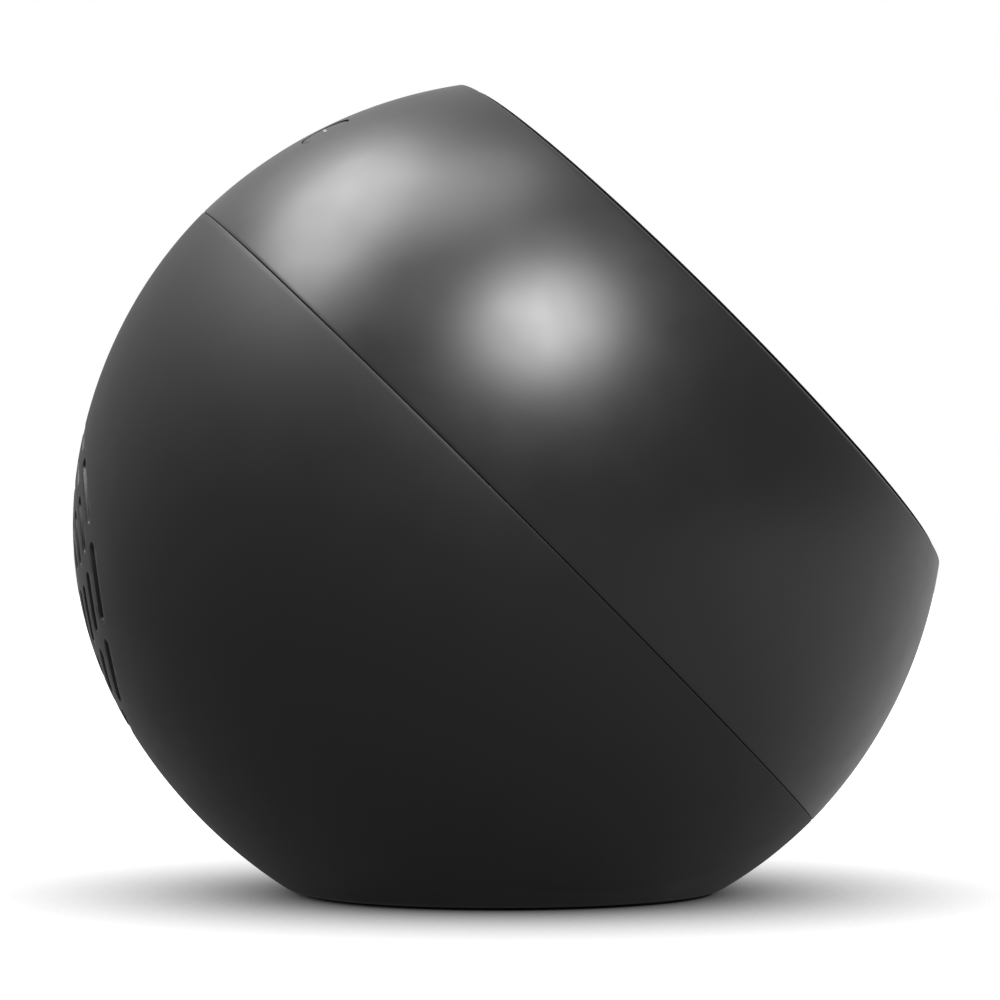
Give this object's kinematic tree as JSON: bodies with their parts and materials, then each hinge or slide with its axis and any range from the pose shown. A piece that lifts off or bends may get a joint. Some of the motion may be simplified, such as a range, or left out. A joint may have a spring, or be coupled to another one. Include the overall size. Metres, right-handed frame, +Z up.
{
  "type": "smart speaker",
  "caption": "Ball-shaped table speaker with a round touch display tilted up at 45 degrees, a slotted rear grille, flush top buttons and a round rubber foot.",
  "frame": {"origin": "centre of the rubber foot's underside, on the table", "axes": "+Z up; the display faces -Y and up at 45 degrees; +X to the viewer's right when facing the display"},
  "size_m": [0.103, 0.1036, 0.0967],
  "materials": {
    "satin_black_plastic": "satin, fine moulded",
    "matt_black_plastic": "matt, fine spark-eroded grain",
    "cover_glass": "polished, black behind",
    "black_rubber": "matt",
    "dark_plastic": "as moulded",
    "grey_plastic": "as moulded",
    "circuit_board": "solder mask",
    "tinned_steel": "stamped",
    "zinc_steel": "zinc plated",
    "cast_aluminium": "as cast",
    "ferrite": "sintered",
    "copper_coil": "enamelled wire",
    "cone_paper": "pressed paper",
    "acoustic_cloth": "woven",
    "foam_tape": "closed-cell foam",
    "flex_film": "polyimide film"
  },
  "bodies": {
    "housing": {"antenna_left": "flex_film", "antenna_right": "flex_film", "audio_socket": "dark_plastic", "base_plate": "dark_plastic", "base_screw_1": "zinc_steel", "base_screw_2": "zinc_steel", "base_screw_3": "zinc_steel", "board_screw_1": "zinc_steel", "board_screw_2": "zinc_steel", "board_screw_3": "zinc_steel", "button_board": "circuit_board", "camera_flex": "flex_film", "camera_module": "dark_plastic", "cover_glass": "cover_glass", "display_flex": "flex_film", "display_module": "dark_plastic", "driver_basket": "dark_plastic", "driver_enclosure": "dark_plastic", "driver_gasket": "foam_tape", "driver_magnet": "ferrite", "driver_top_plate": "zinc_steel", "driver_yoke": "zinc_steel", "enclosure_screw_1": "zinc_steel", "enclosure_screw_2": "zinc_steel", "enclosure_screw_3": "zinc_steel", "frame_screw_1": "zinc_steel", "frame_screw_2": "zinc_steel", "frame_screw_3": "zinc_steel", "front_shell": "satin_black_plastic", "glass_adhesive": "foam_tape", "grille_cloth": "acoustic_cloth", "heat_spreader": "cast_aluminium", "main_board": "circuit_board", "microphone_1": "tinned_steel", "microphone_2": "tinned_steel", "microphone_3": "tinned_steel", "microphone_4": "tinned_steel", "mid_frame": "grey_plastic", "mute_switch": "dark_plastic", "power_lead": "black_rubber", "power_socket": "dark_plastic", "processor_shield": "tinned_steel", "rear_shell": "matt_black_plastic", "rubber_foot": "black_rubber", "socket_board": "circuit_board", "socket_screw": "zinc_steel", "speaker_lead": "black_rubber", "spider": "acoustic_cloth", "surround": "black_rubber", "volume_down_switch": "dark_plastic", "volume_up_switch": "dark_plastic"},
    "volume_down_button": {"volume_down_cap": "satin_black_plastic", "volume_down_plunger": "grey_plastic"},
    "mute_button": {"mute_cap": "satin_black_plastic", "mute_plunger": "grey_plastic"},
    "volume_up_button": {"volume_up_cap": "satin_black_plastic", "volume_up_plunger": "grey_plastic"},
    "moving_cone": {"driver_cone": "cone_paper", "dust_cap": "cone_paper", "voice_coil": "copper_coil"}
  },
  "joints": [
    {"name": "volume_down_press", "type": "slide", "parent": "housing", "child": "volume_down_button", "axis": [0, -0.4325, -0.9016], "range_m": [0, 0.0004], "stiffness_N_per_m": 3000, "springref_m": -0.0001},
    {"name": "mute_press", "type": "slide", "parent": "housing", "child": "mute_button", "axis": [0, -0.4325, -0.9016], "range_m": [0, 0.0004], "stiffness_N_per_m": 3000, "springref_m": -0.0001},
    {"name": "volume_up_press", "type": "slide", "parent": "housing", "child": "volume_up_button", "axis": [0, -0.4325, -0.9016], "range_m": [0, 0.0004], "stiffness_N_per_m": 3000, "springref_m": -0.0001},
    {"name": "cone_stroke", "type": "slide", "parent": "housing", "child": "moving_cone", "axis": [0, 0.988, -0.1547], "range_m": [-0.0015, 0.0015], "stiffness_N_per_m": 1500, "deforming": ["surround", "spider"]}
  ]
}
